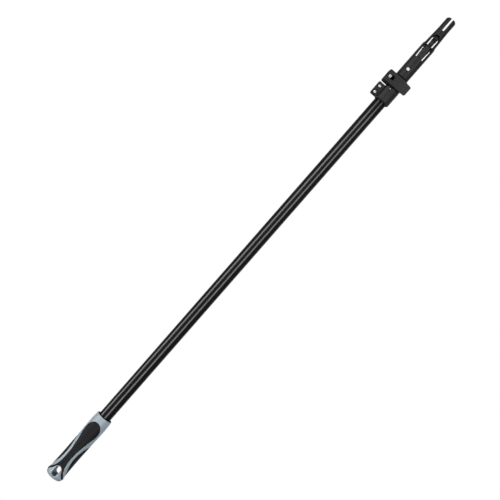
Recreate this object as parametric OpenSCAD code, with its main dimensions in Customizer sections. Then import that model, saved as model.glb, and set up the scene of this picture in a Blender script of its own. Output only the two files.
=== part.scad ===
// Two-section telescopic pole for rollers and other hand tools.
// A two-material grip, a black outer tube, a cam-lever clamp, a sliding inner tube
// and a split tapered nose with two spring latches that hold the tool.
// +Z runs along the pole from the butt to the nose. -Y is the front. Millimetres.

/* [Overall] */
// Length of the closed pole, from the butt to the end of the nose
closed_len = 1211; // [1001:2:1501]
// Height at which the outer tube ends, measured down from the end of the nose
clamp_drop = 184; // [184:0.2:185]

/* [Tubes] */
// Outside diameter of the outer tube
outer_od = 26.2; // [25.8:0.1:26.2]
// Wall thickness of both tubes
tube_wall = 1.2; // [1:0.1:1.3]
// Outside diameter of the inner tube
inner_od = 22.4; // [22:0.1:22.4]
// Height of the outer tube's lower end inside the grip
tube_foot = 35; // [34:0.5:40]

/* [Grip] */
// Length of the grip
grip_len = 156.2; // [156.2:0.1:156.2]
// Thickness of the soft inlays
inlay_t = 2.0; // [1.4:0.1:2.2]
// Turn of the grip about the pole, seen from above
grip_turn = -6; // [-20:1:20]
// Height of the middle of the hanging slot
hang_z = 16.4; // [16.2:0.1:16.6]
// Length of the hanging slot
hang_len = 23; // [22:0.2:23.2]
// Width of the hanging slot
hang_w = 12; // [10:0.5:12.5]

/* [Clamp] */
// Outside radius of the sleeve on the outer tube
sleeve_r = 17.2; // [16.8:0.1:17.4]
// Outside radius of the collar on the inner tube
collar_r = 17; // [16.4:0.1:17]
// Width of the saw cut between the two ears
ear_gap = 2; // [1.2:0.1:2.6]
// Distance between the two sleeve screws
screw_pitch = 14.8; // [13:0.2:15]
// Radius of the cam on the lever
cam_r = 8.4; // [8.4:0.1:8.4]
// Offset of the cam from the barrel nut
cam_throw = 0.8; // [0.6:0.1:0.9]
// Reach of the lever's thumb tab from the pole's axis
tab_reach = 27.6; // [24:0.1:30]

/* [Nose] */
// Radius of the nose's skirt
skirt_r = 14.25; // [14.1:0.05:14.4]
// Radius of the cylindrical end of the nose
nose_r = 10.9; // [10.7:0.05:11]
// Width of the slot that splits the nose
split_w = 3.6; // [3:0.1:5]
// Depth of the slot that splits the nose
split_depth = 31.8; // [30:0.2:34]

/* [Hidden] */
$fn = 96;
fit = 0.02;                            // clearance between touching pieces

// heights along the pole
z_tip = closed_len;
z_outer_top = z_tip - clamp_drop;
z_inner_foot = tube_foot + 40;
z_inner_top = z_tip - 116.4;
z_clamp_foot = z_tip - 218.1;
z_clamp_top = z_tip - 158.4;
z_ear_foot = z_tip - 216.4;            // lower pair of ears
z_ear_top = z_tip - 188.2;
z_collar = z_tip - 183.3;              // foot of the upper pair of ears
z_screw = z_tip - 203.5;               // middle of the two sleeve screws
z_screws = [z_screw - screw_pitch / 2, z_screw + screw_pitch / 2];
z_locator = z_tip - 188.6;             // small rivet that locates the clamp
z_bolt = z_tip - 170.6;                // tension bolt and lever centre
lever_h = 24.6;
z_lever_foot = z_bolt - lever_h / 2;
z_lever_top = z_bolt + lever_h / 2;
z_skirt = z_tip - 154.6;               // foot of the nose's skirt
z_rivet = z_tip - 135.3;               // rivets that hold the nose
z_root = z_tip - 105.4;                // foot of the latch tongues
z_shoulder = z_tip - 71.2;

// radii of the tubes
outer_r = outer_od / 2;
outer_bore = outer_r - tube_wall;
inner_r = inner_od / 2;
inner_bore = inner_r - tube_wall;

// ---------- helpers ----------
function raised(points, z) = [for (p = points) [p[0], z + p[1]]];
function reversed(list) = [for (i = [len(list) - 1:-1:0]) list[i]];
// closes a right-hand half outline with its mirror image, leaving out the first `skip` points
function both_sides(half, skip = 0) =
    concat(half, [for (i = [len(half) - 1:-1:skip]) [-half[i][0], half[i][1]]]);
function arc(x, y, r, from, to, steps) =
    [for (i = [0:steps]) let (a = from + (to - from) * i / steps) [x + r * cos(a), y + r * sin(a)]];

// thickens a 2D outline given in XZ along Y from y0 to y1
module along_y(y0, y1)
    translate([0, y1, 0]) rotate([90, 0, 0]) linear_extrude(height = y1 - y0) children();
// the same for an outline given in YZ, thickened along X from x0 to x1
module along_x(x0, x1)
    translate([x0, 0, 0]) rotate([90, 0, 90]) linear_extrude(height = x1 - x0) children();
// turns a [radius, height] profile about Z
module turned(profile) rotate_extrude() polygon(profile);
module ring(r_out, r_in, z0, z1) translate([0, 0, z0]) difference() {
    cylinder(r = r_out, h = z1 - z0);
    translate([0, 0, -1]) cylinder(r = r_in, h = z1 - z0 + 2);
}
module pin_y(x, z, r, y0, y1) translate([x, y1, z]) rotate([90, 0, 0]) cylinder(r = r, h = y1 - y0);
// hexagonal prism along Y, measured across its flats
module hex_y(x, z, flats, y0, y1)
    translate([x, y1, z]) rotate([90, 0, 0]) rotate([0, 0, 30])
        cylinder(r = flats / sqrt(3), h = y1 - y0, $fn = 6);
module round_rect(x0, x1, y0, y1, r, steps = 6) polygon(concat(
    arc(x0 + r, y0 + r, r, 180, 270, steps),
    arc(x1 - r, y0 + r, r, 270, 360, steps),
    arc(x1 - r, y1 - r, r, 0, 90, steps),
    arc(x0 + r, y1 - r, r, 90, 180, steps)));

// ---------- grip ----------
inlay_colour = [0.14, 0.14, 0.15];
inlay_proud = 0.15;                    // how far the inlays stand out of the grip
pocket_play = 0.05;                    // play round the edge of an inlay
seal_depth = 3;
seal_r = 14.4;

// [height, radius] of the grip
grip_profile = [
    [0, 14.5], [0.3, 15.8], [0.8, 16.7], [1.6, 17.5], [2.6, 18.1], [3.6, 18.55],
    [5.6, 19.05], [7.6, 19.42], [8.6, 19.35], [9.6, 19.15], [11.6, 18.75], [13.6, 18.4],
    [16.6, 18.1], [19.6, 17.9], [26.6, 17.7], [33.6, 17.55], [45.6, 17.35], [57.6, 17.3],
    [69.6, 17.4], [81.6, 17.6], [93.6, 17.75], [105.6, 18], [117.6, 18.3], [126.6, 18.55],
    [135.6, 18.5], [144.6, 18.25], [151.6, 17.9], [154.6, 17.5], [155.7, 17.1], [156.2, 16.6]];
// the part of the profile that the inlays lie in
inlay_zone = [for (p = grip_profile) if (p[0] >= 2.6 && p[0] <= 151.7) p];
// [height, half angle] of the main inlay's paddle on the front and on the back
paddle_edge = [
    [28.4, 33], [32.3, 29.5], [38.4, 25.3], [44.6, 23.1], [50.6, 22.2], [56.6, 21.9],
    [62.6, 22.4], [68.6, 23.8], [74.6, 25.9], [80.2, 29], [86, 32.3], [91.8, 36],
    [97.6, 40.5], [103, 45.2], [108.6, 50.2], [114.2, 55], [117.1, 56.6], [120, 56.9],
    [123.1, 56], [126, 53.6], [129.6, 49.2], [133, 42.4], [136.1, 34.6], [138.6, 26.4],
    [140.6, 16.6], [141.8, 5]];
// [x, height] of the main inlay's edge towards the butt
butt_edge = [
    [0, 29.1], [2.4, 28.7], [4.3, 27.5], [6.85, 24.9], [8.1, 22.7], [9.3, 20.5],
    [10.3, 18.4], [11.5, 16.2], [13.1, 13.8], [14.8, 11.4], [17, 8], [19.5, 5.2]];
// [x, height] of its edge away from the butt, where it wraps round to the other side
band_edge = [
    [19.5, 8.3], [18.6, 9.6], [17.6, 12.6], [15.9, 15.7], [13.9, 18.4], [12.6, 20.6],
    [11.3, 23.3], [10.4, 25.6]];
// [height, half angle] of the leaf-shaped side inlays
leaf_edge = [
    [17.6, 1], [19.87, 9.5], [23.5, 21.5], [28.83, 32], [36.2, 40.1], [43.3, 44.9],
    [49.4, 47.5], [55.5, 48.8], [61.4, 48.4], [67.3, 46.5], [73.1, 43.5], [78.8, 38.9],
    [84, 31], [88.6, 17.5], [91.6, 2]];

// half width, seen square on, of a [height, half angle] point on the grip
function half_width(p) = lookup(p[0], grip_profile) * sin(p[1]);
// outlines of the inlays; grow enlarges them
function inlay_outline(grow) = both_sides(concat(
    raised(butt_edge, -grow),
    [for (p = band_edge) [p[0] + (p[0] < 19 ? grow : 0), p[1] + grow * 0.5]],
    [for (p = paddle_edge) [half_width(p) + grow, p[0] + (p[0] > 135 ? grow : 0)]]), skip = 1);
function leaf_outline(grow) = both_sides([for (p = leaf_edge) [half_width(p) + grow, p[0]]]);

// shell that reaches depth under the grip's surface and stands proud of it
module grip_shell(depth, proud) turned(concat(
    [for (p = inlay_zone) [p[1] + proud, p[0]]],
    [for (p = reversed(inlay_zone)) [p[1] - depth, p[0]]]));
module main_inlay(depth = inlay_t, proud = inlay_proud, grow = 0) intersection() {
    grip_shell(depth, proud);
    along_y(-25, 25) polygon(inlay_outline(grow));
}
// leaf on the +X side
module leaf_inlay(depth = inlay_t, proud = inlay_proud, grow = 0) intersection() {
    grip_shell(depth, proud);
    along_x(5, 25) polygon(leaf_outline(grow));
}

module grip_body() color([0.60, 0.66, 0.70]) rotate([0, 0, grip_turn]) difference() {
    turned(concat([[0, 0]], [for (p = grip_profile) [p[1], p[0]]], [[0, grip_len]]));
    main_inlay(inlay_t + fit, 1, pocket_play);
    for (turn = [0, 180])
        rotate([0, 0, turn]) leaf_inlay(inlay_t + fit, 1, pocket_play);
    // seat of the tube, open at the mouth
    translate([0, 0, tube_foot - 1]) cylinder(r = outer_r + fit, h = grip_len);
    translate([0, 0, grip_len - seal_depth]) cylinder(r = seal_r + 0.05, h = seal_depth + 1);
    // hanging slot
    along_y(-25, 25)
        round_rect(-hang_w / 2, hang_w / 2, hang_z - hang_len / 2, hang_z + hang_len / 2,
            hang_w / 2 - 0.01, 12);
}
module grip_inlay() color(inlay_colour) rotate([0, 0, grip_turn]) main_inlay();
module left_inlay() color(inlay_colour) rotate([0, 0, grip_turn + 180]) leaf_inlay();
module right_inlay() color(inlay_colour) rotate([0, 0, grip_turn]) leaf_inlay();
module mouth_seal() color([0.08, 0.08, 0.08]) turned(raised([
    [outer_r + fit, 0.05 - seal_depth], [seal_r, 0.05 - seal_depth], [seal_r, -0.3],
    [14.0, 0.1], [13.5, 0.2], [outer_r + fit, -0.2]], grip_len));
module tube_end_plug() color([0.1, 0.1, 0.1]) difference() {
    ring(outer_bore - fit, 8, tube_foot, tube_foot + 14);
    // slot on the back
    translate([-0.8, 0, tube_foot + 6]) cube([1.6, 30, 20]);
}

// ---------- tubes ----------
// hole through the clamp and the outer tube for the locating rivet
locator_turn = -8;
locator_r = 1;
module locator_hole() rotate([0, 0, locator_turn]) pin_y(0, z_locator, locator_r + 0.05, -20, 0);
// holes through the nose and the inner tube for the nose rivets
rivet_turn = -7;
rivet_r = 1.6;
module rivet_holes() rotate([0, 0, rivet_turn]) pin_y(0, z_rivet, rivet_r + 0.05, -20, 20);

module outer_tube() color([0.09, 0.09, 0.09]) difference() {
    ring(outer_r, outer_bore, tube_foot, z_outer_top);
    locator_hole();
}
module inner_tube() color([0.11, 0.11, 0.11]) difference() {
    ring(inner_r, inner_bore, z_inner_foot, z_inner_top);
    rivet_holes();
}

// ---------- clamp ----------
upper_ear_y = 5.5;                     // half thickness of the upper ears
lower_ear_front = 8.5;                 // distances of the lower ears' faces from the XZ plane
lower_ear_back = 6.5;
screw_x = -22;
screw_r = 2;
screw_seat = 1.6;                      // depth of the screw heads' seats
nut_flats = 7;
nut_seat = 3.4;                        // depth of the nuts' seats
bolt_x = -19.4;
bolt_r = 3.4;
bolt_flats = 10;                       // hexagonal head of the tension bolt
bolt_seat = 2;
washer_t = 1;
cam_gap = 0.08;
barrel_y = -(upper_ear_y + washer_t + 2 * fit + cam_gap + cam_r + cam_throw);
barrel_r = 4.5;
lever_face = -21.8;                    // y of the lever's front face

module bolt_hole() pin_y(bolt_x, z_bolt, bolt_r + 0.3, -20, 20);
module sleeve_blank() turned(concat(
    raised([[0, 0], [sleeve_r - 2.6, 0], [sleeve_r - 0.8, 1.4], [sleeve_r - 0.2, 2],
        [sleeve_r, 2.8]], z_clamp_foot),
    [[sleeve_r, z_collar - 1.2], [collar_r, z_collar - 0.2]],
    raised([[collar_r, -1.6], [collar_r - 0.5, -0.5], [collar_r - 1.4, 0], [0, 0]],
        z_clamp_top)));
// cut across the clamp that lets the collar close on its own
module cross_cut() along_y(-25, 25) polygon(concat(
    raised([[-32, -0.001], [-15, 0], [-12, 0.6], [-9.4, 2.3], [-6, 2.9], [0.6, 3.1],
        [1.9, 3.5], [2.8, 4.3], [3, 5.1], [2.7, 5.9], [1.8, 6.7]], z_ear_top),
    [[0.6, z_collar], [-32, z_collar]]));
module clamp_body() color([0.19, 0.19, 0.19]) difference() {
    union() {
        sleeve_blank();
        along_y(-lower_ear_front, lower_ear_back)
            round_rect(-29.2, -10, z_ear_foot, z_ear_top, 2.6);
        along_y(-upper_ear_y, upper_ear_y)
            round_rect(-28.6, -10, z_collar, z_clamp_top, 3);
    }
    translate([0, 0, z_clamp_foot - 1]) cylinder(r = outer_r + 0.05, h = 80);
    // saw cut between the ears
    translate([-40, -ear_gap / 2, z_clamp_foot - 1]) cube([40, ear_gap, 80]);
    cross_cut();
    for (z = z_screws) {
        pin_y(screw_x, z, screw_r + 0.1, -20, 20);
        pin_y(screw_x, z, 4.8, -lower_ear_front - 5, -lower_ear_front + screw_seat);
        hex_y(screw_x, z, nut_flats + 0.2, lower_ear_back - nut_seat, lower_ear_back + 5);
    }
    bolt_hole();
    hex_y(bolt_x, z_bolt, bolt_flats + 0.2, upper_ear_y - bolt_seat, upper_ear_y + 5);
    // room for the cam and its washer in front of the upper ears
    translate([bolt_x, barrel_y, z_collar - 0.5]) cylinder(r = cam_r + 1, h = 40, $fn = 72);
    translate([-40, -30, z_collar - 0.5]) cube([40 - 14.7, 30 - upper_ear_y, 40]);
    // relief along the root of the lower ears, on the front
    translate([-13.2, -15, z_ear_foot + 0.8]) cube([1.3, 5.6, z_ear_top - z_ear_foot - 1.6]);
    locator_hole();
}
// screw with a domed head and a cross recess
module dome_screw(z) {
    difference() {
        translate([screw_x, -lower_ear_front + screw_seat - fit, z]) rotate([90, 0, 0])
            turned([[0, 0], [3.15, 0], [3.15, 0.9], [2.95, 1.5], [2.45, 1.95], [1.6, 2.25],
                [0, 2.35]]);
        for (a = [20, 110])
            translate([screw_x, -lower_ear_front - 0.9, z]) rotate([0, a, 0])
                translate([-1.05, -1, -0.28]) cube([2.1, 1.6, 0.56]);
    }
    pin_y(screw_x, z, screw_r, -lower_ear_front + screw_seat - 0.1, lower_ear_back + 0.6);
}
module clamp_screws() color([0.78, 0.78, 0.78]) for (z = z_screws) dome_screw(z);
module clamp_nuts() color([0.7, 0.7, 0.7]) for (z = z_screws) difference() {
    hex_y(screw_x, z, nut_flats, lower_ear_back - nut_seat + 0.05, lower_ear_back - 0.1);
    pin_y(screw_x, z, screw_r + 0.03, 0, 20);
}
module locating_rivet() {
    head_y = -sleeve_r - 0.1;
    shank = -head_y - outer_bore - 0.15;
    color([0.75, 0.75, 0.75]) rotate([0, 0, locator_turn])
        translate([0, head_y, z_locator]) rotate([90, 0, 0]) union() {
            turned([[0, 0], [1.25, 0], [1.2, 0.35], [0.95, 0.68], [0.5, 0.85], [0, 0.9]]);
            translate([0, 0, -shank]) cylinder(r = locator_r, h = shank + 0.1);
        }
}
module mouth_bushing() {
    bore = inner_r + 0.06;
    z_foot = z_outer_top - 80;
    z_flange = z_outer_top + 0.05;
    z_top = z_clamp_top - 0.1;
    color([0.16, 0.16, 0.16]) difference() {
        turned([[bore, z_foot], [outer_bore - fit, z_foot], [outer_bore - fit, z_flange],
            [outer_r, z_flange], [outer_r, z_top], [bore, z_top]]);
        // slots in the part above the outer tube
        for (a = [45, 135, 225, 315])
            rotate([0, 0, a]) translate([5, -0.6, z_outer_top + 4]) cube([20, 1.2, 60]);
    }
}
module cam_washer() color([0.72, 0.7, 0.66]) difference() {
    along_y(-upper_ear_y - washer_t - fit, -upper_ear_y - fit)
        round_rect(-25.2, -14.9, z_lever_foot + 1.2, z_lever_top - 1.2, 1.5);
    bolt_hole();
}
module tension_bolt() color([0.8, 0.8, 0.8]) {
    hex_y(bolt_x, z_bolt, bolt_flats, upper_ear_y - bolt_seat + 0.05, upper_ear_y + 2.2);
    pin_y(bolt_x, z_bolt, bolt_r, lever_face + 1, upper_ear_y);
    // chamfered end
    translate([bolt_x, lever_face + 1, z_bolt]) rotate([90, 0, 0])
        cylinder(r1 = bolt_r, r2 = bolt_r - 0.45, h = 0.5, $fn = 48);
}
module barrel_nut() color([0.12, 0.12, 0.12]) difference() {
    translate([bolt_x, barrel_y, z_lever_foot + 2.2]) cylinder(r = barrel_r, h = lever_h - 4);
    pin_y(bolt_x, z_bolt, bolt_r + fit, -40, 20);
}

// y of the arm's front face, which curves in towards the tab
function arm_face(x) = lever_face + (x > 0 ? 0.004 * x * x : 0);
// plan of the lever: the cam and the arm
module lever_plan() {
    tab_face = arm_face(tab_reach);
    front_len = tab_reach - 1.6 - bolt_x;
    back_x = -9;                       // end of the arm's even thickness
    back_len = tab_reach - 2.4 - back_x;
    union() {
        intersection() {
            translate([bolt_x, barrel_y + cam_throw]) circle(r = cam_r);
            translate([-60, lever_face]) square([80, 40]);
        }
        polygon(concat(
            [for (i = [0:12]) let (x = bolt_x + front_len * i / 12) [x, arm_face(x)]],
            raised([[tab_reach - 0.5, 0.6], [tab_reach, 1.8], [tab_reach - 0.3, 3.2],
                [tab_reach - 1.4, 4]], tab_face),
            [for (i = [10:-1:0]) let (x = back_x + back_len * i / 10) [x, arm_face(x) + 4.2]],
            [[-12.5, lever_face + 5.4], [bolt_x, barrel_y]]));
    }
}
// front view of the lever
module lever_front() polygon(concat(
    raised([[-40, 0], [tab_reach - 12, 0], [tab_reach - 4, 0.5], [tab_reach - 2.2, 0.9],
        [tab_reach - 0.7, 2.2], [tab_reach, 4]], z_lever_foot),
    raised([[tab_reach, -4.4], [tab_reach - 0.5, -3.2], [tab_reach - 1.8, -2.3], [21, -1.9],
        [17, -1.7], [15.2, -1.2], [13.6, -0.5], [11.8, -0.1], [10, 0], [bolt_x - 6.9, 0],
        [bolt_x - 7.8, -0.8], [bolt_x - cam_r, -2], [-40, -2]], z_lever_top)));
module cam_lever() color([0.2, 0.2, 0.2]) difference() {
    intersection() {
        translate([0, 0, z_lever_foot - 1]) linear_extrude(height = lever_h + 2) lever_plan();
        along_y(-40, 20) lever_front();
    }
    // seat of the barrel nut, open at the top
    translate([bolt_x, barrel_y, z_lever_foot + 2]) cylinder(r = barrel_r + 0.06, h = 60);
    // room for the bolt while the lever swings
    translate([0, 0, z_bolt - 3.75]) linear_extrude(height = 7.5)
        polygon([[bolt_x + 3.75, 0], [bolt_x + 3.75, barrel_y], [bolt_x, barrel_y - 3.75],
            [bolt_x - 12, barrel_y - 6], [bolt_x - 12, 0]]);
    // pocket round the bolt's end, open at the front
    translate([0, 0, z_bolt - 4.4]) linear_extrude(height = 8.8)
        polygon([[bolt_x - 3.8, -30], [bolt_x + 9.9, -30], [bolt_x + 9.9, barrel_y + 4.8],
            [bolt_x, barrel_y + 4.8], [bolt_x - 3.8, barrel_y]]);
}

// ---------- inner tube fittings ----------
module glide_ring() color([0.85, 0.85, 0.82]) difference() {
    ring(outer_bore - 0.08, 9.5, z_inner_foot - 13.7, z_inner_foot - 0.3);
    // grooves along the outside
    for (a = [0:60:300])
        rotate([0, 0, a]) translate([outer_bore - 0.6, -0.6, z_inner_foot - 20])
            cube([2, 1.2, 30]);
}
module inner_plug() color([0.85, 0.85, 0.82]) turned(raised([
    [5, -18], [10.4, -18], [11, -17.4], [11, -14], [9.4, -14], [9.4, -fit],
    [inner_bore - fit, -fit], [inner_bore - fit, 22], [inner_bore - 1, 23.5], [5, 23.5]],
    z_inner_foot));

// ---------- nose ----------
// [radius, height] of the nose; heights after the skirt's foot are counted from the tip
nose_profile = concat(
    [[skirt_r - 0.4, z_skirt], [skirt_r, z_skirt + 0.5]],
    raised([
        [skirt_r, -73.8], [skirt_r - 0.25, -71.4], [13.35, -69.4], [12.7, -67.2],
        [12.5, -65.4], [12.3, -58.4], [12, -51.4], [11.75, -45.4], [11.45, -39.4],
        [11.15, -33.4], [nose_r, -28.4], [nose_r, -5], [10.6, -3.6], [9.9, -2.2],
        [8.8, -1.1], [7.6, -0.3], [6.6, 0]], z_tip));
// The half outlines below are [x, height above the tongue's root].
// window that the tongue and its catch work in, above its rounded lower corner
window_half = [
    [8.6, 2.1], [8.65, 8], [8.85, 18], [8.95, 23.6], [9.3, 25], [9.4, 27], [9, 29],
    [8.3, 31], [7.5, 33.2], [6.95, 35.6], [6.95, 53.3], [6.8, 55.2], [6.2, 57.1],
    [5.1, 58.9], [3.6, 60], [1.9, 60.6]];
// latch's base plate
base_half = [
    [5.97, 2.24], [5.97, 2.5], [6.45, 6], [6.85, 13], [7.2, 19.5], [7.35, 23.4],
    [7.7, 24.4], [8.15, 25.4], [8.2, 26.8], [7.6, 28.4], [6.35, 29.7], [6.1, 30.8],
    [5.6, 32], [4.7, 33.4], [2, 34]];
// raised tongue on the base plate
tongue_half = [
    [5.97, 2.24], [5.97, 2.5], [6.15, 5], [5.7, 8], [5.25, 11.5], [5.05, 15], [5, 22],
    [4.95, 25], [4.7, 27], [4.1, 28.6], [3.2, 29.9], [2, 30.7], [0.9, 31]];
// groove round the tongue's tip
groove_half = [
    [6.3, 20], [6.3, 25.4], [6, 27.4], [5.3, 29.4], [4.1, 31], [2.6, 32], [1.1, 32.4]];
// catch
catch_half = [
    [5.4, 50], [5.4, 53], [5.1, 54.5], [4.4, 56], [3.3, 57.2], [1.8, 57.95]];

// half outline made whole and thickened from in front of the nose back to y1
module front_outline(half, y1 = 0) along_y(-25, y1) polygon(raised(both_sides(half), z_root));
// side outline given as [y, height above the tongue's root]
module side_outline(half_w, points) along_x(-half_w, half_w) polygon(raised(points, z_root));

module nose_cavity() {
    bore = inner_r + 0.05;
    turned(concat(
        [[0, z_skirt - 1], [bore, z_skirt - 1]],
        raised([[bore, 0.1], [10.2, 0.1], [10.2, 2], [11.05, 2.9]], z_inner_top),
        raised([[11.05, -2.5], [9.9, 2], [9.4, 20]], z_shoulder),
        raised([[8.2, -32], [8.0, 1], [0, 1]], z_tip)));
}
// web across the inside at the shoulder, notched for the latches
module shoulder_web() difference() {
    intersection() {
        translate([0, 0, z_shoulder - 4.2]) cylinder(r = 11.8, h = 5);
        translate([-20, -8.4, z_shoulder - 5]) cube([40, 16.8, 10]);
    }
    for (side = [-1, 1])
        translate([-6.6, side * 10.8 - 5, z_shoulder - 6]) cube([13.2, 10, 12]);
}
module nose_cone() color([0.19, 0.19, 0.19]) difference() {
    union() {
        difference() {
            turned(concat([[0, z_skirt]], nose_profile, [[0, z_tip]]));
            nose_cavity();
        }
        shoulder_web();
    }
    // windows, front and back
    for (turn = [0, 180])
        rotate([0, 0, turn])
            front_outline(concat(arc(7.3, 2.1, 1.3, 180, 360, 6), window_half), -5.4);
    // slot that splits the end
    along_y(-25, 25) polygon(concat(
        [[split_w / 2, z_tip + 1]],
        arc(0, z_tip - split_depth + split_w / 2, split_w / 2, 0, -180, 10),
        [[-split_w / 2, z_tip + 1]]));
    rivet_holes();
}
// hollow-headed rivet on the front, at height 0
module blind_rivet() difference() {
    union() {
        translate([0, -skirt_r - fit, 0]) rotate([90, 0, 0])
            turned([[0, 0], [3.4, 0], [3.4, 0.35], [3, 0.85], [2.2, 1.1], [0, 1.1]]);
        pin_y(0, 0, rivet_r, -skirt_r - 0.5, -8);
        pin_y(0, 0, 2.4, -inner_bore + 0.35, -7);
    }
    pin_y(0, 0, 1.15, -30, -skirt_r - 0.15);
}
module nose_rivets() color([0.82, 0.82, 0.82]) translate([0, 0, z_rivet])
    for (turn = [0, 180])
        rotate([0, 0, rivet_turn + turn]) blind_rivet();

// curved plate of outside radius r, cut to a half outline
module plate(r, half) intersection() {
    ring(r, 11.4, z_root, z_root + 36);
    front_outline(half);
}
// tongue, bar and catch in one piece, at the front
module latch() difference() {
    union() {
        plate(12.5, base_half);
        plate(skirt_r, tongue_half);
        // rim beyond the groove round the tongue's tip
        difference() {
            plate(13.7, base_half);
            front_outline(groove_half);
            translate([-12, -25, z_root - 1]) cube([24, 25, 25.2]);
        }
        // bar
        side_outline(4.7, [[-11.9, 24.5], [-11.9, 33.2], [-9.9, 34.2], [-9.9, 49.9],
            [-10.7, 50.4], [-10.7, 54], [-7.6, 54], [-7.6, 36], [-9, 30], [-11.2, 25]]);
        // rib along the bar
        side_outline(2.7, [[-9.8, 36.2], [-10.9, 37.2], [-10.9, 44.2], [-9.8, 45.2]]);
        // catch with a lead-in on the side of the nose's end
        intersection() {
            side_outline(5.4, [[-7.6, 50.4], [-11, 50.4], [-12.9, 51.2], [-13.2, 51.8],
                [-13, 52.6], [-10.6, 57.4], [-9.6, 58.2], [-7.6, 58.2]]);
            front_outline(catch_half);
        }
    }
    // recess in the bar before the catch
    translate([-3.7, -20, z_root + 45.8]) cube([7.4, 11.4, 4]);
}
module front_latch() color([0.2, 0.2, 0.2]) latch();
module rear_latch() color([0.2, 0.2, 0.2]) rotate([0, 0, 180]) latch();

grip_body();
grip_inlay();
left_inlay();
right_inlay();
mouth_seal();
tube_end_plug();
outer_tube();
clamp_body();
clamp_screws();
clamp_nuts();
locating_rivet();
mouth_bushing();
cam_washer();
tension_bolt();
barrel_nut();
cam_lever();
glide_ring();
inner_plug();
inner_tube();
nose_cone();
nose_rivets();
front_latch();
rear_latch();
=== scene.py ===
"""Telescopic pole standing upright on Z: grip at the bottom, clamp sleeve and tapered nose above.

The front faces -Y and the right side +X. The grip shell and its rubber pads are built here in
millimetres from an unrolled skin; five moulded parts are softened copies of their CAD nodes and
the rest of the CAD only gets materials. Materials, lights and camera are in metres.
"""
import bpy
import bmesh
import math
import numpy as np
from mathutils import Vector, Matrix
from mathutils.geometry import delaunay_2d_cdt


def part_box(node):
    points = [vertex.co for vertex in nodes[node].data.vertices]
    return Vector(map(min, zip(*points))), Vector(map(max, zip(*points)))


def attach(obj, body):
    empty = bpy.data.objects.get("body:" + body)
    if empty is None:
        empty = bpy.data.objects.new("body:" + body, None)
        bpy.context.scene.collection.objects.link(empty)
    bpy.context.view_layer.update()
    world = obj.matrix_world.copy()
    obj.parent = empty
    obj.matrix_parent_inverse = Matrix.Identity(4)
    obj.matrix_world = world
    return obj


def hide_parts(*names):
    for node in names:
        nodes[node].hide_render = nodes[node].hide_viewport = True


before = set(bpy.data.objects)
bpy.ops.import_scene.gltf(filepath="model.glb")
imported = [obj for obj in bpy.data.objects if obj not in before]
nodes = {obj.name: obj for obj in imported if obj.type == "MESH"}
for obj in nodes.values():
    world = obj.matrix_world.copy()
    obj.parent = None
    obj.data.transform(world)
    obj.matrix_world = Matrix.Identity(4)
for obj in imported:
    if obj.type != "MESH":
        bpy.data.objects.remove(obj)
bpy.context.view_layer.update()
scene = bpy.context.scene
MM = 0.001


# ------------------------------------------------------------------ colours and node trees
def srgb(*channels):
    """Linear RGBA from 8-bit sRGB."""
    unit = [c / 255 for c in channels]
    return (*(c / 12.92 if c <= 0.04045 else ((c + 0.055) / 1.055) ** 2.4 for c in unit), 1.0)


def scaled(color, gain):
    return (*(min(1.0, c * gain) for c in color[:3]), 1.0)


class Nodes:
    """An emptied node tree of a material or world, with short ways to add nodes."""

    def __init__(self, owner):
        owner.use_nodes = True
        self.tree = owner.node_tree
        self.tree.nodes.clear()

    def add(self, kind, inputs=None, **settings):
        node = self.tree.nodes.new(kind)
        for key, value in settings.items():
            setattr(node, key, value)
        for key, value in (inputs or {}).items():
            node.inputs[key].default_value = value
        return node

    def link(self, source, target):
        self.tree.links.new(source, target)

    def remap(self, value, to, span=(0.0, 1.0)):
        """Carry span onto to, clamped."""
        node = self.add("ShaderNodeMapRange", {
            "From Min": span[0], "From Max": span[1], "To Min": to[0], "To Max": to[1]})
        self.link(value, node.inputs["Value"])
        return node.outputs["Result"]


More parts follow.
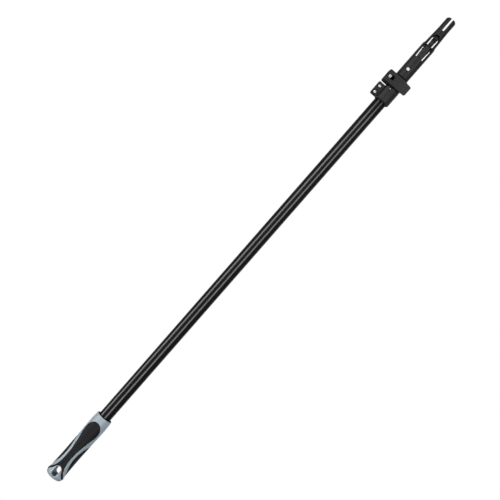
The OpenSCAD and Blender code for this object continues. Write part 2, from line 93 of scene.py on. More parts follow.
class Surface(Nodes):
    """A material around one Principled shader, textured in object space."""

    def __init__(self, name):
        self.material = bpy.data.materials.new(name)
        super().__init__(self.material)
        output = self.add("ShaderNodeOutputMaterial")
        self.bsdf = self.add("ShaderNodeBsdfPrincipled")
        self.link(self.bsdf.outputs[0], output.inputs["Surface"])
        self.object_co = self.add("ShaderNodeTexCoord").outputs["Object"]

    def feed(self, source, socket):
        self.link(source, self.bsdf.inputs[socket])

    def noise(self, scale, detail=4.0, rough=0.55, stretch=None):
        """Noise; stretch gives a separate frequency along each axis."""
        vector = self.object_co
        if stretch:
            mapping = self.add("ShaderNodeMapping", {"Scale": stretch})
            self.link(vector, mapping.inputs["Vector"])
            vector = mapping.outputs[0]
        node = self.add("ShaderNodeTexNoise",
                        {"Scale": scale, "Detail": detail, "Roughness": rough})
        self.link(vector, node.inputs["Vector"])
        return node.outputs["Fac"]

    def math(self, operation, first, second):
        node = self.add("ShaderNodeMath", operation=operation)
        self.link(first, node.inputs[0])
        if isinstance(second, float):
            node.inputs[1].default_value = second
        else:
            self.link(second, node.inputs[1])
        return node.outputs[0]

    def mix(self, factor, color_a, color_b):
        node = self.add("ShaderNodeMix", data_type="RGBA")
        self.link(factor, node.inputs["Factor"])
        for color, name in ((color_a, "A"), (color_b, "B")):
            socket = [i for i in node.inputs if i.name == name and i.type == "RGBA"][0]
            if isinstance(color, tuple):
                socket.default_value = color
            else:
                self.link(color, socket)
        return [o for o in node.outputs if o.type == "RGBA"][0]

    def bump(self, height, strength, distance, normal=None):
        node = self.add("ShaderNodeBump", {"Strength": strength, "Distance": distance})
        self.link(height, node.inputs["Height"])
        if normal is not None:
            self.link(normal, node.inputs["Normal"])
        return node.outputs["Normal"]

    def edge_mask(self, radius):
        """1 along edges, 0 on plain faces."""
        bevel = self.add("ShaderNodeBevel", {"Radius": radius}, samples=4)
        geometry = self.add("ShaderNodeNewGeometry")
        dot = self.add("ShaderNodeVectorMath", operation="DOT_PRODUCT")
        self.link(bevel.outputs[0], dot.inputs[0])
        self.link(geometry.outputs["Normal"], dot.inputs[1])
        return self.remap(dot.outputs["Value"], to=(1.0, 0.0), span=(0.75, 0.99))

    def openness(self, reach, power):
        """1 in the open, falling to 0 in crevices narrower than reach: an ambient occlusion mask
        that drives painted shade.
        """
        occlusion = self.add("ShaderNodeAmbientOcclusion", {"Distance": reach}, samples=5)
        return self.math("POWER", occlusion.outputs["AO"], power)


# ------------------------------------------------------------------ materials
def plastic(name, color, rough, var=0.10, spec=0.5, scuff=0.25, edge=0.0008, edge_gain=1.35,
            crevice=0.006, depth=1.6):
    """Moulded plastic: fine grain, faint mottling, scuffs, polished edges, painted shade in
    crevices.
    """
    t = Surface(name)
    broad = t.noise(scale=38.0, detail=3.0)
    fine = t.noise(scale=900.0, detail=3.0, rough=0.6)
    base = t.mix(t.remap(broad, to=(0.0, 1.0), span=(0.3, 0.7)),
                 scaled(color, 1 - var), scaled(color, 1 + var))
    base = t.mix(t.remap(fine, to=(0.0, 0.35), span=(0.35, 0.75)),
                 base, scaled(color, 1 + 1.6 * var))
    edges = t.edge_mask(edge)
    wear = t.noise(scale=420.0, detail=4.0, rough=0.7)
    worn = t.math("MULTIPLY", edges, t.remap(wear, to=(0.2, 1.0), span=(0.35, 0.65)))
    base = t.mix(worn, base, scaled(color, edge_gain))
    # painted shade: where ambient occlusion finds a crevice, the colour darkens toward 8 % of
    # itself and the reflections weaken
    is_open = t.openness(crevice, depth)
    t.feed(t.mix(is_open, scaled(color, 0.08), base), "Base Color")
    t.feed(t.remap(is_open, to=(0.05, spec)), "Specular IOR Level")

    scratches = t.noise(scale=1.0, detail=5.0, rough=0.65, stretch=(260.0, 260.0, 60.0))
    swing = scuff * 0.3
    t.feed(t.remap(scratches, to=(rough - swing, rough + swing), span=(0.3, 0.7)), "Roughness")
    grain = t.noise(scale=2600.0, detail=2.0, rough=0.5)
    normal = t.bump(grain, strength=0.35, distance=0.00003)
    t.feed(t.bump(broad, strength=0.15, distance=0.0004, normal=normal), "Normal")
    return t.material


def elastomer(name, color, rough=0.62):
    """Soft rubber: small raised pimples, matt, with faint bloom."""
    t = Surface(name)
    bloom = t.noise(scale=60.0, detail=4.0, rough=0.6)
    dust = t.noise(scale=1400.0, detail=2.0, rough=0.6)
    base = t.mix(t.remap(bloom, to=(0.0, 1.0), span=(0.3, 0.75)),
                 scaled(color, 0.82), scaled(color, 1.25))
    base = t.mix(t.remap(dust, to=(0.0, 0.3), span=(0.5, 0.8)), base, scaled(color, 1.7))
    t.feed(base, "Base Color")
    t.feed(t.remap(bloom, to=(rough - 0.08, rough + 0.08), span=(0.3, 0.7)), "Roughness")

    cells = t.add("ShaderNodeTexVoronoi", {"Scale": 620.0, "Randomness": 0.35}, feature="F1")
    t.link(t.object_co, cells.inputs["Vector"])
    pimples = t.remap(cells.outputs["Distance"], to=(1.0, 0.0), span=(0.15, 0.5))
    normal = t.bump(pimples, strength=0.28, distance=0.00018)
    grain = t.noise(scale=3000.0, detail=2.0)
    t.feed(t.bump(grain, strength=0.2, distance=0.00003, normal=normal), "Normal")
    for socket, value in (("Specular IOR Level", 0.22), ("Sheen Weight", 0.02),
                          ("Sheen Roughness", 0.5)):
        t.bsdf.inputs[socket].default_value = value
    return t.material


def coated_tube(name, color, rough, spec=0.5, crevice=0.006, fade=None):
    """Satin tube: fine lines along Z, faint orange peel, hairline rubs around it, painted shade
    in crevices.

    fade = (z span, level): the reflection falls to that level over that stretch of Z.
    """
    t = Surface(name)
    lines = t.noise(scale=1.0, detail=4.0, rough=0.6, stretch=(2600.0, 2600.0, 7.0))
    rubs = t.noise(scale=1.0, detail=5.0, rough=0.7, stretch=(60.0, 60.0, 900.0))
    peel = t.noise(scale=520.0, detail=2.0, rough=0.5)
    blotch = t.noise(scale=16.0, detail=3.0, rough=0.5)
    base = t.mix(t.remap(blotch, to=(0.0, 1.0), span=(0.3, 0.7)),
                 scaled(color, 0.85), scaled(color, 1.18))
    base = t.mix(t.remap(rubs, to=(0.0, 0.07), span=(0.62, 0.85)), base, scaled(color, 2.0))
    # painted shade: the colour darkens toward a tenth of itself where ambient occlusion finds a
    # crevice, as in the contact shadow where a tube meets the clamp
    is_open = t.openness(crevice, 1.8)
    t.feed(t.mix(is_open, scaled(color, 0.1), base), "Base Color")

    # reflections weaken in crevices, toward the outline and over the fade
    facing = t.add("ShaderNodeLayerWeight", {"Blend": 0.5}).outputs["Facing"]
    factors = [t.remap(facing, to=(1.0, 0.05), span=(0.3, 0.75))]
    if fade:
        fade_span, fade_level = fade
        axes = t.add("ShaderNodeSeparateXYZ")
        t.link(t.object_co, axes.inputs[0])
        factors.append(t.remap(axes.outputs["Z"], to=(1.0, fade_level), span=fade_span))
    level = t.remap(is_open, to=(0.0, spec))
    for factor in factors:
        level = t.math("MULTIPLY", level, factor)
    t.feed(level, "Specular IOR Level")

    line_rough = t.remap(lines, to=(rough - 0.035, rough + 0.035), span=(0.3, 0.7))
    rub_rough = t.remap(rubs, to=(-0.008, 0.02), span=(0.35, 0.75))
    t.feed(t.math("ADD", line_rough, rub_rough), "Roughness")
    normal = t.bump(lines, strength=0.10, distance=0.00002)
    t.feed(t.bump(peel, strength=0.10, distance=0.00004, normal=normal), "Normal")
    t.bsdf.inputs["Coat Roughness"].default_value = 0.2
    return t.material


def metal(name, color, rough, brush=(500.0, 500.0, 500.0), metallic=1.0):
    """Plated or turned metal: fine machining lines and dulled spots."""
    t = Surface(name)
    t.bsdf.inputs["Metallic"].default_value = metallic
    lines = t.noise(scale=1.0, detail=5.0, rough=0.65, stretch=brush)
    spots = t.noise(scale=700.0, detail=4.0, rough=0.6)
    dulling = t.remap(spots, to=(0.0, 1.0), span=(0.45, 0.75))
    t.feed(t.mix(dulling, (*color, 1), scaled(color, 0.75)), "Base Color")
    t.feed(t.remap(lines, to=(rough - 0.08, rough + 0.12), span=(0.3, 0.7)), "Roughness")
    normal = t.bump(lines, strength=0.18, distance=0.00003)
    t.feed(t.bump(spots, strength=0.12, distance=0.00003, normal=normal), "Normal")
    return t.material


NYLON = dict(var=0.14, spec=0.34)
BRUSHED_Y = (500.0, 60.0, 500.0)
# crevice and depth set the reach and strength of the painted shade in crevices
MATERIALS = {
    "grip": plastic("grip_grey", srgb(150, 163, 172), rough=0.42, var=0.05, scuff=0.2,
                    edge=0.0006, edge_gain=1.12, crevice=0.014),
    "pad": elastomer("grip_rubber", srgb(21, 21, 24)),
    "seal": elastomer("seal_rubber", srgb(22, 22, 23), rough=0.5),
    "outer tube": coated_tube("outer_tube_coating", srgb(11, 11, 11), rough=0.225,
                              fade=((0.945, 0.992), 0.45)),
    "inner tube": coated_tube("inner_tube_anodised", srgb(17, 17, 18), rough=0.36, spec=0.35,
                              crevice=0.009),
    "clamp": plastic("clamp_nylon", srgb(29, 29, 29), rough=0.58, **NYLON),
    "lever": plastic("lever_nylon", srgb(31, 31, 31), rough=0.56, **NYLON),
    "nose": plastic("nose_nylon", srgb(28, 28, 28), rough=0.55, **NYLON),
    "latch": plastic("latch_nylon", srgb(34, 34, 34), rough=0.56, crevice=0.004, depth=3.2,
                     **NYLON),
    "white": plastic("acetal_white", srgb(200, 200, 194), rough=0.35, var=0.04),
    "bushing": plastic("bushing_acetal", srgb(15, 15, 15), rough=0.5, spec=0.3),
    "zinc": metal("zinc_plate", (0.6, 0.6, 0.595), rough=0.42, brush=BRUSHED_Y, metallic=0.55),
    "pin": metal("pin_aluminium", (0.48, 0.48, 0.48), rough=0.45, metallic=0.55),
    "rivet": metal("rivet_aluminium", (0.88, 0.88, 0.88), rough=0.42, metallic=0.55),
    "black oxide": metal("black_oxide", (0.06, 0.06, 0.065), rough=0.38, brush=BRUSHED_Y),
    "washer": metal("stamped_washer", (0.62, 0.6, 0.56), rough=0.34,
                    brush=(200.0, 500.0, 500.0)),
}


def paint(obj, material):
    obj.data.materials.clear()
    obj.data.materials.append(MATERIALS[material])


def install(obj, material, node, body):
    """Paint the object and put it in the place of a CAD node, moving with body."""
    paint(obj, material)
    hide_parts(node)
    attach(obj, body)


# ------------------------------------------------------------------ mesh helpers
MERGE = 3e-6            # metres between points that are welded
SHARP_ANGLE = 60


def new_object(name, mesh):
    obj = bpy.data.objects.new(name, mesh)
    scene.collection.objects.link(obj)
    return obj


def from_arrays(name, verts, faces):
    bm = bmesh.new()
    made = [bm.verts.new(v) for v in verts]
    for face in faces:
        if len(set(face)) > 2:
            try:
                bm.faces.new([made[i] for i in face])
            except ValueError:  # the same face may already be there
                pass
    bmesh.ops.remove_doubles(bm, verts=bm.verts, dist=MERGE)
    bmesh.ops.dissolve_degenerate(bm, edges=bm.edges, dist=1e-7)
    loose = [v for v in bm.verts if not v.link_faces]
    bmesh.ops.delete(bm, geom=loose, context="VERTS")
    bmesh.ops.recalc_face_normals(bm, faces=bm.faces)
    mesh = bpy.data.meshes.new(name)
    bm.to_mesh(mesh)
    bm.free()
    mesh.shade_smooth()
    mesh.set_sharp_from_angle(angle=math.radians(SHARP_ANGLE))
    return new_object(name, mesh)


def softened(name, node, voxel, passes):
    """A copy of a CAD node with every edge and corner slightly rounded."""
    obj = new_object(name, nodes[node].data.copy())
    remesh = obj.modifiers.new("remesh", "REMESH")
    remesh.mode = "VOXEL"
    remesh.voxel_size = voxel
    remesh.adaptivity = 0.0
    smooth = obj.modifiers.new("smooth", "SMOOTH")
    smooth.factor = 0.5
    smooth.iterations = passes
    depsgraph = bpy.context.evaluated_depsgraph_get()
    mesh = bpy.data.meshes.new_from_object(obj.evaluated_get(depsgraph))
    obj.modifiers.clear()
    obj.data = mesh
    mesh.name = name
    mesh.shade_smooth()
    return obj


# ------------------------------------------------------------------ plane curves
def pchip(points):
    """Smooth function through (x, y) points with no overshoot."""
    xs, ys = np.array(points, float).T
    h = np.diff(xs)
    slope = np.diff(ys) / h
    tangent = np.zeros(len(xs))
    tangent[0], tangent[-1] = slope[0], slope[-1]
    for i in range(1, len(xs) - 1):
        if slope[i - 1] * slope[i] > 0:
            w1, w2 = 2 * h[i] + h[i - 1], h[i] + 2 * h[i - 1]
            tangent[i] = (w1 + w2) / (w1 / slope[i - 1] + w2 / slope[i])

    def curve(x):
        x = np.clip(np.asarray(x, float), xs[0], xs[-1])
        i = np.clip(np.searchsorted(xs, x, side="right") - 1, 0, len(xs) - 2)
        t = (x - xs[i]) / h[i]
        return (
            (2 * t**3 - 3 * t**2 + 1) * ys[i]
            + (t**3 - 2 * t**2 + t) * h[i] * tangent[i]
            + (-2 * t**3 + 3 * t**2) * ys[i + 1]
            + (t**3 - t**2) * h[i] * tangent[i + 1]
        )

    return curve


def spline(points, step):
    """Centripetal Catmull-Rom through the points, sampled about every step."""
    p = np.array(points, float)
    p = np.vstack([2 * p[0] - p[1], p, 2 * p[-1] - p[-2]])
    out = []
    for i in range(1, len(p) - 2):
        p0, p1, p2, p3 = p[i - 1 : i + 3]
        knots = [0.0]
        for a, b in ((p0, p1), (p1, p2), (p2, p3)):
            knots.append(knots[-1] + max(1e-6, np.linalg.norm(b - a)) ** 0.5)
        t0, t1, t2, t3 = knots
        count = max(1, int(round(np.linalg.norm(p2 - p1) / step)))
        t = np.linspace(t1, t2, count, endpoint=False)[:, None]

        def between(start, end, a, b):
            return (end - t) / (end - start) * a + (t - start) / (end - start) * b

        a1 = between(t0, t1, p0, p1)
        a2 = between(t1, t2, p1, p2)
        a3 = between(t2, t3, p2, p3)
        out.append(between(t1, t2, between(t0, t2, a1, a2), between(t1, t3, a2, a3)))
    out.append(p[-2][None])
    return np.vstack(out)


def offset(curve, distance):
    """The curve moved sideways, its ends kept on the symmetry lines they started on."""
    tangent = np.gradient(curve, axis=0)
    for end, run in ((0, curve[1] - curve[0]), (-1, curve[-1] - curve[-2])):
        if abs(run[0]) > 0.3 * abs(run[1]):
            tangent[end] = [run[0], 0]
    tangent /= np.linalg.norm(tangent, axis=1)[:, None]
    moved = curve + distance * np.stack([-tangent[:, 1], tangent[:, 0]], 1)
    moved[0, 0], moved[-1, 0] = curve[0, 0], curve[-1, 0]
    keep = (moved[:, 0] >= -1e-9) & (moved[:, 0] <= ARC_MAX + 1e-9)
    return moved[keep]


def curve_distance(points, curve, chunk=2000):
    a, b = curve[:-1], curve[1:]
    ab = b - a
    length2 = (ab**2).sum(1)
    best = np.full(len(points), 1e9)
    for k in range(0, len(points), chunk):
        q = points[k : k + chunk, None, :]
        t = np.clip(((q - a) * ab).sum(2) / length2, 0, 1)
        best[k : k + chunk] = np.sqrt(((a + t[..., None] * ab - q) ** 2).sum(2)).min(1)
    return best


def nearest(points, curves):
    return np.min([curve_distance(points, c) for c in curves], 0)


def inside(points, polygon):
    x, y = points[:, 0], points[:, 1]
    result = np.zeros(len(points), bool)
    for (xi, yi), (xj, yj) in zip(polygon, np.roll(polygon, 1, axis=0)):
        if yi != yj:
            result ^= ((yi > y) != (yj > y)) & (x < (xj - xi) * (y - yi) / (yj - yi) + xi)
    return result


# ------------------------------------------------------------------ grip dimensions, mm
# One quarter of the skin, from the front (-Y) round to the right (+X), is laid out flat as
# (arc length, z) and mirrored into the whole. Heights are measured out from the skin.
box_lo, box_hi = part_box("grip_body")
GRIP_LEN = (box_hi.z - box_lo.z) / MM
GRIP_TURN = math.radians(-6.0)  # turn of the whole grip about Z
SKIN_RADIUS = 17.8              # radius at which the skin is unrolled
ARC_MAX = SKIN_RADIUS * math.pi / 2
OUTLINE_STEP = 0.7

MOUTH_RADIUS = 14.5
MOUTH_DEPTH = 3
BORE_RADIUS = 13.12
SEAT_Z = 34.0                   # bottom of the bore

SLOT_MID_Z = 16.4               # round-ended slot through the grip along Y
SLOT_HALF = 11.5
SLOT_RADIUS = 6.0
SLOT_RIM = 0.6                  # rounding of its rim
ARC_STEPS = 12

RECESS_DEPTH = 1.6              # under the pads
RECESS_WALL = (0.004, 0.055)    # distance from the outline at the wall's foot and top
RECESS_WALL_TOP = -0.4
RECESS_ROUND_START = 0.06
RECESS_ROUND = 0.4

PAD_BOTTOM = -RECESS_DEPTH + 0.08
PAD_GAP = 0.062                 # from the outline to the pad's side wall
PAD_WALL_RUN = 0.013
PAD_WALL_RISE = 0.95
PAD_ROUND_START = 0.08
PAD_ROUND = 0.6
PAD_PROUD = 0.12
PAD_CUT = 0.058                 # triangles nearer the outline are left out

# distances from the outlines at which extra mesh lines run
BODY_RINGS = (0.0, RECESS_ROUND_START, 0.10, 0.17, 0.28, 0.46)
SLOT_RINGS = (0.06, 0.18, 0.36, SLOT_RIM)
PAD_RINGS = (PAD_GAP, PAD_ROUND_START, 0.13, 0.22, 0.38, 0.68)
# close mesh rows: z up from the butt and drops from the mouth
BUTT_ROWS = [0, 0.08, 0.2, 0.36, 0.56, 0.8, 1.15, 1.6, 2.1, 2.6, 3.2]
MOUTH_ROWS = [3, 2.2, 1.6, 1.0, 0.6, 0.3, 0.1, 0]

# (z, radius)
grip_radius = pchip([
    (0, 14.5), (0.3, 15.8), (0.8, 16.7), (1.6, 17.5), (2.6, 18.1), (3.6, 18.55), (5.6, 19.05),
    (7.6, 19.42), (8.6, 19.35), (9.6, 19.15), (11.6, 18.75), (13.6, 18.4), (16.6, 18.1),
    (19.6, 17.9), (26.6, 17.7), (33.6, 17.55), (45.6, 17.35), (57.6, 17.3), (69.6, 17.4),
    (81.6, 17.6), (93.6, 17.75), (105.6, 18), (117.6, 18.3), (126.6, 18.55), (135.6, 18.5),
    (144.6, 18.25), (151.6, 17.9), (154.6, 17.5), (155.7, 17.1), (156.2, 16.6),
])


def outline(points):
    """Smooth flat outline from (degrees round from the front, z)."""
    flat = [(math.radians(angle) * SKIN_RADIUS, z) for angle, z in points]
    return spline(flat, OUTLINE_STEP)


# lower edge of the main pad
LOWER_EDGE = outline([
    (0, 29.1), (7.7, 28.7), (14, 27.5), (22.7, 24.9), (27, 22.7), (31.3, 20.5), (34.9, 18.4),
    (39.3, 16.2), (45.3, 13.8), (52.7, 11.2), (62.9, 8.3), (76, 6.2), (90, 5.6),
])
# side and upper edge of the main pad
BAND_EDGE = outline([
    (90, 8.6), (82, 9.1), (76, 10.5), (69, 12.8), (60.5, 15.7), (50.3, 18.8), (44.6, 20.8),
    (39.3, 23.6), (35.8, 26), (32.6, 28.6), (29.5, 32.3), (25.3, 38.4), (23.1, 44.6),
    (22.2, 50.6), (21.9, 56.6), (22.4, 62.6), (23.8, 68.6), (25.9, 74.6), (29, 80.2),
    (32.3, 86), (36, 91.8), (40.5, 97.6), (45.2, 103), (50.2, 108.6), (54.6, 114.2),
    (56.5, 118.1), (56.6, 122), (54.4, 126), (49.6, 130), (42.4, 133.6), (34, 137),
    (24, 139.8), (12, 141.6), (0, 142.1),
])
# leaf-shaped side pad
LEAF_EDGE = outline([
    (90, 17.6), (84, 18.28), (77.5, 20.55), (69.5, 24.63), (59, 30.3), (49.9, 36.88),
    (45.1, 43.3), (42.5, 49.4), (41.3, 55.5), (41.6, 61.4), (43.5, 67.3), (46.5, 73.1),
    (51.5, 79.2), (60, 84.8), (71.5, 89.2), (82, 91.2), (90, 91.6),
])
MAIN_PAD = np.vstack([LOWER_EDGE, BAND_EDGE])


def slot_edge():
    """Right half of the slot's outline, laid on the flat skin."""
    low, high = SLOT_MID_Z - SLOT_HALF, SLOT_MID_Z + SLOT_HALF
    straight = high - low - 2 * SLOT_RADIUS

    def arc(center_z, angles):
        return [(SLOT_RADIUS * math.cos(a), center_z + SLOT_RADIUS * math.sin(a))
                for a in angles]

    points = arc(low + SLOT_RADIUS,
                 [math.pi * (-0.5 + 0.5 * i / ARC_STEPS) for i in range(ARC_STEPS + 1)])
    points += [(SLOT_RADIUS, low + SLOT_RADIUS + straight * i / ARC_STEPS)
               for i in range(1, ARC_STEPS)]
    points += arc(high - SLOT_RADIUS,
                  [math.pi * 0.5 * i / ARC_STEPS for i in range(ARC_STEPS + 1)])
    points[0] = (0.0, low)
    points[-1] = (0.0, high)
    return np.array([(math.asin(x / float(grip_radius(z))) * SKIN_RADIUS, z)
                     for x, z in points])


SLOT_EDGE = slot_edge()


# ------------------------------------------------------------------ grip surfaces
def around(angle, radius, z):
    """Points in metres at an angle round from the front."""
    return np.stack([radius * np.sin(angle), -radius * np.cos(angle), z], 1) * MM


def wrap(flat, height):
    return around(flat[:, 0] / SKIN_RADIUS, grip_radius(flat[:, 1]) + height, flat[:, 1])


def rolled(distance, radius):
    """Height of a quarter-round edge, 0 from one radius inward."""
    d = np.clip(distance, 0, radius)
    return -(radius - np.sqrt(np.maximum(0, radius**2 - (radius - d) ** 2)))


def body_height(points):
    d = nearest(points, [LOWER_EDGE, BAND_EDGE, LEAF_EDGE])
    d = np.where(inside(points, MAIN_PAD) | inside(points, LEAF_EDGE), -d, d)
    wall = np.interp(d, RECESS_WALL, [-RECESS_DEPTH, RECESS_WALL_TOP])
    top = rolled(d - RECESS_ROUND_START, RECESS_ROUND)
    height = np.where(d < RECESS_WALL[1], wall, top)
    to_slot = np.where(inside(points, SLOT_EDGE), 0, curve_distance(points, SLOT_EDGE))
    return np.minimum(height, rolled(to_slot, SLOT_RIM))


def pad_height(points, curves):
    d = nearest(points, curves)
    wall = PAD_BOTTOM + np.clip((d - PAD_GAP) / PAD_WALL_RUN, 0, 1) * PAD_WALL_RISE
    top = PAD_PROUD + rolled(d - PAD_ROUND_START, PAD_ROUND)
    return np.where(d < PAD_GAP + PAD_WALL_RUN, wall, top)


def triangulate(loops, fill, region):
    """Delaunay mesh that keeps the loops as edges, cut to the region."""
    points, edges = [], []
    for loop in loops:
        k = len(points)
        points.extend(loop.tolist())
        edges.extend((k + i, k + i + 1) for i in range(len(loop) - 1))
    points.extend(fill.tolist())
    result = delaunay_2d_cdt([Vector(p) for p in points], edges, [], 0, 1e-4)
    v = np.array([(q.x, q.y) for q in result[0]])
    f = np.array([t for t in result[2] if len(t) == 3])
    a, b, c = v[f].transpose(1, 0, 2)
    area = np.abs((b[:, 0] - a[:, 0]) * (c[:, 1] - a[:, 1])
                  - (c[:, 0] - a[:, 0]) * (b[:, 1] - a[:, 1]))
    return v, f[region(v[f].mean(1)) & (area > 1e-7)]


def fill_points(curves, gap, step, z0, z1, extra_rows=()):
    """Staggered rows of points that stay gap away from the curves."""
    points = []
    for k, z in enumerate(list(extra_rows) + list(np.arange(z0, z1, step * 0.87))):
        row = np.linspace(0, ARC_MAX, int(round(ARC_MAX / step)) + 1)
        if k % 2:
            row = np.concatenate([[0], (row[1:] + row[:-1]) / 2, [ARC_MAX]])
        points.append(np.stack([row, np.full(len(row), z)], 1))
    points = np.vstack(points)
    return points[nearest(points, curves) > gap]


def grip_object(name, verts, faces, quarters):
    """Mirror one quarter into the given (x sign, y sign) quarters, turn it and build it."""
    all_verts, all_faces = [], []
    for k, (sx, sy) in enumerate(quarters):
        all_verts.append(verts * np.array([sx, sy, 1.0]))
        for face in faces:
            order = reversed(face) if sx * sy < 0 else face
            all_faces.append(tuple(int(i) + k * len(verts) for i in order))
    v = np.vstack(all_verts)
    c, s = math.cos(GRIP_TURN), math.sin(GRIP_TURN)
    v = np.stack([v[:, 0] * c - v[:, 1] * s, v[:, 0] * s + v[:, 1] * c, v[:, 2]], 1)
    return from_arrays(name, v, all_faces)


def add_strip(faces, start, count):
    """Quads between two rows of count points that follow each other from start."""
    for i in range(start, start + count - 1):
        faces.append((i, i + 1, i + 1 + count, i + count))


ALL_QUARTERS = ((1, 1), (-1, 1), (1, -1), (-1, -1))


def make_grip_body():
    loops = [offset(c, sign * d)
             for c, sign in ((LOWER_EDGE, -1), (BAND_EDGE, -1), (LEAF_EDGE, 1))
             for d in BODY_RINGS]
    loops += [SLOT_EDGE] + [offset(SLOT_EDGE, -d) for d in SLOT_RINGS]
    fill = fill_points([LOWER_EDGE, BAND_EDGE, LEAF_EDGE, SLOT_EDGE, loops[-1]],
                       gap=0.62, step=1.35, z0=4.2, z1=GRIP_LEN - 3.2,
                       extra_rows=BUTT_ROWS + [GRIP_LEN - drop for drop in MOUTH_ROWS])
    fill = fill[~inside(fill, SLOT_EDGE)]

    def region(c):
        return ~inside(c, SLOT_EDGE) & (c[:, 1] >= 0) & (c[:, 1] <= GRIP_LEN)

    flat, triangles = triangulate(loops, fill, region)
    verts = list(wrap(flat, body_height(flat)))
    faces = [tuple(t) for t in triangles]

    # the slot's wall runs straight through along Y
    edge = wrap(SLOT_EDGE, body_height(SLOT_EDGE))
    for y_share in (1.0, 0.66, 0.33, 0.0):
        if y_share < 1.0:
            add_strip(faces, len(verts) - len(edge), len(edge))
        verts.extend(edge * np.array([1, y_share, 1]))

    # (radius, z) chains: the butt disc, then the mouth, bore and seat
    mouth_z = GRIP_LEN - MOUTH_DEPTH
    for z0, chain in (
        (0.0, [(0.0, 0.0)]),
        (GRIP_LEN, [(MOUTH_RADIUS, GRIP_LEN), (MOUTH_RADIUS, mouth_z), (BORE_RADIUS, mouth_z),
                    (BORE_RADIUS, SEAT_Z), (0.0, SEAT_Z)]),
    ):
        rim = sorted({round(float(s), 6) for s, z in flat if abs(z - z0) < 1e-6})
        angles = np.array(rim) / SKIN_RADIUS
        chain = [(float(grip_radius(z0)), z0)] + chain
        for ends in zip(chain[:-1], chain[1:]):
            add_strip(faces, len(verts), len(angles))
            for radius, z in ends:
                verts.extend(around(angles, radius, np.full(len(angles), z)))
    return grip_object("grip_shell", np.array(verts), faces, ALL_QUARTERS)


def make_pad(name, sides, polygon, z0, z1, quarters):
    """A rubber pad; sides are (edge curve, sign of the inward offset)."""
    loops = [offset(c, sign * d) for c, sign in sides for d in PAD_RINGS]
    curves = [c for c, _ in sides]
    fill = fill_points(curves, gap=0.85, step=1.1, z0=z0, z1=z1)
    # points on the symmetry lines are tested a hair inside them
    nudge = np.array([1e-4, 0]) * np.where(fill[:, :1] > ARC_MAX / 2, -1, 1)
    fill = fill[inside(fill + nudge, polygon)]

    def region(c):
        return inside(c, polygon) & (nearest(c, curves) > PAD_CUT)

    flat, triangles = triangulate(loops, fill, region)
    top = wrap(flat, pad_height(flat, curves))
    bottom = wrap(flat, np.full(len(flat), PAD_BOTTOM))
    faces = [tuple(t) for t in triangles]
    faces += [tuple(reversed(t + len(flat))) for t in triangles]
    return grip_object(name, np.vstack([top, bottom]), faces, quarters)


install(make_grip_body(), "grip", "grip_body", "handle")
main_pad = make_pad("grip_main_pad", [(LOWER_EDGE, 1), (BAND_EDGE, 1)], MAIN_PAD,
                    z0=5.0, z1=142.2, quarters=ALL_QUARTERS)
install(main_pad, "pad", "grip_inlay", "handle")
for name, node, side in (("grip_right_pad", "right_inlay", 1),
                         ("grip_left_pad", "left_inlay", -1)):
    pad = make_pad(name, [(LEAF_EDGE, -1)], LEAF_EDGE, z0=17.2, z1=92.0,
                   quarters=((side, 1), (side, -1)))
    install(pad, "pad", node, "handle")

# ------------------------------------------------------------------ other parts
# name, CAD node, voxel size in metres, smoothing passes, body, material
for name, node, voxel, passes, body, material in (
    ("clamp_sleeve", "clamp_body", 0.00038, 4, "handle", "clamp"),
    ("clamp_lever", "cam_lever", 0.00032, 9, "lever", "lever"),
    ("tapered_nose", "nose_cone", 0.00036, 3, "inner_pole", "nose"),
    ("latch_tongue_front", "front_latch", 0.0003, 3, "latch_front", "latch"),
    ("latch_tongue_rear", "rear_latch", 0.0003, 3, "latch_rear", "latch"),
):
    install(softened(name, node, voxel, passes), material, node, body)

for node, material in (
    ("mouth_seal", "seal"), ("tube_end_plug", "bushing"), ("outer_tube", "outer tube"),
    ("clamp_screws", "zinc"), ("clamp_nuts", "zinc"), ("locating_rivet", "pin"),
    ("mouth_bushing", "bushing"), ("cam_washer", "washer"), ("tension_bolt", "zinc"),
    ("barrel_nut", "black oxide"), ("glide_ring", "white"), ("inner_plug", "white"),
    ("inner_tube", "inner tube"), ("nose_rivets", "rivet"),
):
    paint(nodes[node], material)

# ------------------------------------------------------------------ stage
WHITE = (1, 1, 1, 1)
FLOOR_HALF, FLOOR_Z = 30, -0.0005


def make_world():
    """White to the camera; a dim fill, brighter from above, for everything else."""
    world = bpy.data.worlds.new("studio")
    scene.world = world
    t = Nodes(world)
    output = t.add("ShaderNodeOutputWorld")
    rays = t.add("ShaderNodeLightPath")
    white = t.add("ShaderNodeBackground", {"Color": WHITE, "Strength": 1.0})
    fill = t.add("ShaderNodeBackground", {"Color": WHITE})
    direction = t.add("ShaderNodeTexCoord")
    axes = t.add("ShaderNodeSeparateXYZ")
    t.link(direction.outputs["Generated"], axes.inputs[0])
    strength = t.remap(axes.outputs["Z"], to=(0.03, 0.17), span=(-0.7, 0.3))
    t.link(strength, fill.inputs["Strength"])
    mix = t.add("ShaderNodeMixShader")
    t.link(rays.outputs["Is Camera Ray"], mix.inputs[0])
    t.link(fill.outputs[0], mix.inputs[1])
    t.link(white.outputs[0], mix.inputs[2])
    t.link(mix.outputs[0], output.inputs[0])


def make_floor():
    """A white floor that only the camera sees."""
    mesh = bpy.data.meshes.new("floor")
    corners = ((-1, -1), (1, -1), (1, 1), (-1, 1))
    mesh.from_pydata([(x * FLOOR_HALF, y * FLOOR_HALF, FLOOR_Z) for x, y in corners],
                     [], [(0, 1, 2, 3)])
    floor = new_object("floor", mesh)
    material = bpy.data.materials.new("pale_floor")
    t = Nodes(material)
    output = t.add("ShaderNodeOutputMaterial")
    glow = t.add("ShaderNodeEmission", {"Color": WHITE, "Strength": 1.0})
    t.link(glow.outputs[0], output.inputs[0])
    mesh.materials.append(material)
    for ray in ("diffuse", "glossy", "shadow", "transmission"):
        setattr(floor, "visible_" + ray, False)


def placement(x_axis, y_axis, z_axis, origin):
    matrix = Matrix((x_axis, y_axis, z_axis)).transposed().to_4x4()
    matrix.translation = origin
    return matrix


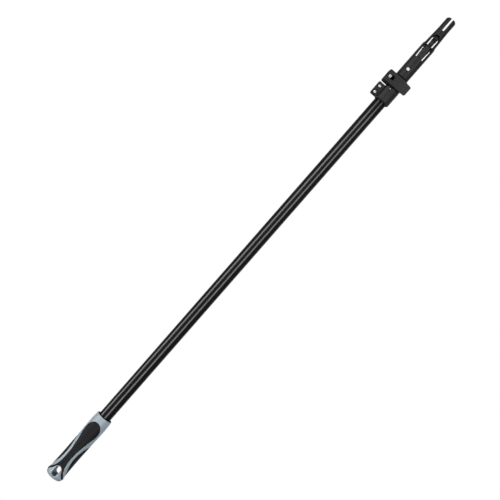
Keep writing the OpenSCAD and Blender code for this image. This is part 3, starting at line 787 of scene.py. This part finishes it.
# the strips pass through two points on a circle round the pole, and run on past both
STRIP_CIRCLE = 1.8
STRIP_LOW_Z, STRIP_HIGH_Z = -0.214, 1.266
STRIP_OVERRUN = 0.75
STRIP_TARGET = Vector((0, 0, 0.6))


def on_circle(azimuth, z):
    """Azimuth in degrees from the front, positive to the right."""
    a = math.radians(azimuth)
    return Vector((STRIP_CIRCLE * math.sin(a), -STRIP_CIRCLE * math.cos(a), z))


def strip(name, low_azimuth, high_azimuth, width, radiance):
    """A tall soft box facing the pole."""
    low, high = on_circle(low_azimuth, STRIP_LOW_Z), on_circle(high_azimuth, STRIP_HIGH_Z)
    run = (high - low).normalized()
    bottom, top = low - run * STRIP_OVERRUN, high + run * STRIP_OVERRUN
    up = top - bottom
    length = up.length
    up.normalize()
    middle = (bottom + top) / 2
    face = STRIP_TARGET - middle
    back = -(face - face.dot(up) * up).normalized()  # a light shines along its -Z
    data = bpy.data.lights.new(name, "AREA")
    data.shape = "RECTANGLE"
    data.size = width
    data.size_y = length
    data.energy = radiance * math.pi * width * length
    light = new_object(name, data)
    light.matrix_world = placement(up.cross(back).normalized(), up, back, middle)
    light.visible_camera = False


def make_camera():
    """Looks along +Y, rolled so that the pole lies across the frame at a slant."""
    data = bpy.data.cameras.new("camera")
    data.sensor_width = 36.0
    data.lens = 64.8
    data.clip_start, data.clip_end = 0.05, 100
    camera = new_object("camera", data)
    roll = math.radians(90 - 48.811)
    right = Vector((math.cos(roll), 0, math.sin(roll)))
    up = Vector((-math.sin(roll), 0, math.cos(roll)))
    position = Vector((-0.00137, -1.8, 0.5988))
    camera.matrix_world = placement(right, up, Vector((0, -1, 0)), position)
    scene.camera = camera


make_world()
make_floor()
strip("strip_left", -68.4, -42.2, width=0.6, radiance=6.0)
strip("strip_right", 15.0, 33.0, width=0.5, radiance=6.2)
strip("strip_back_left", -150.0, -150.0, width=0.9, radiance=1.3)
strip("strip_back_right", 140.0, 140.0, width=0.9, radiance=1.3)
make_camera()
scene.view_settings.view_transform = "Standard"
scene.view_settings.look = "None"
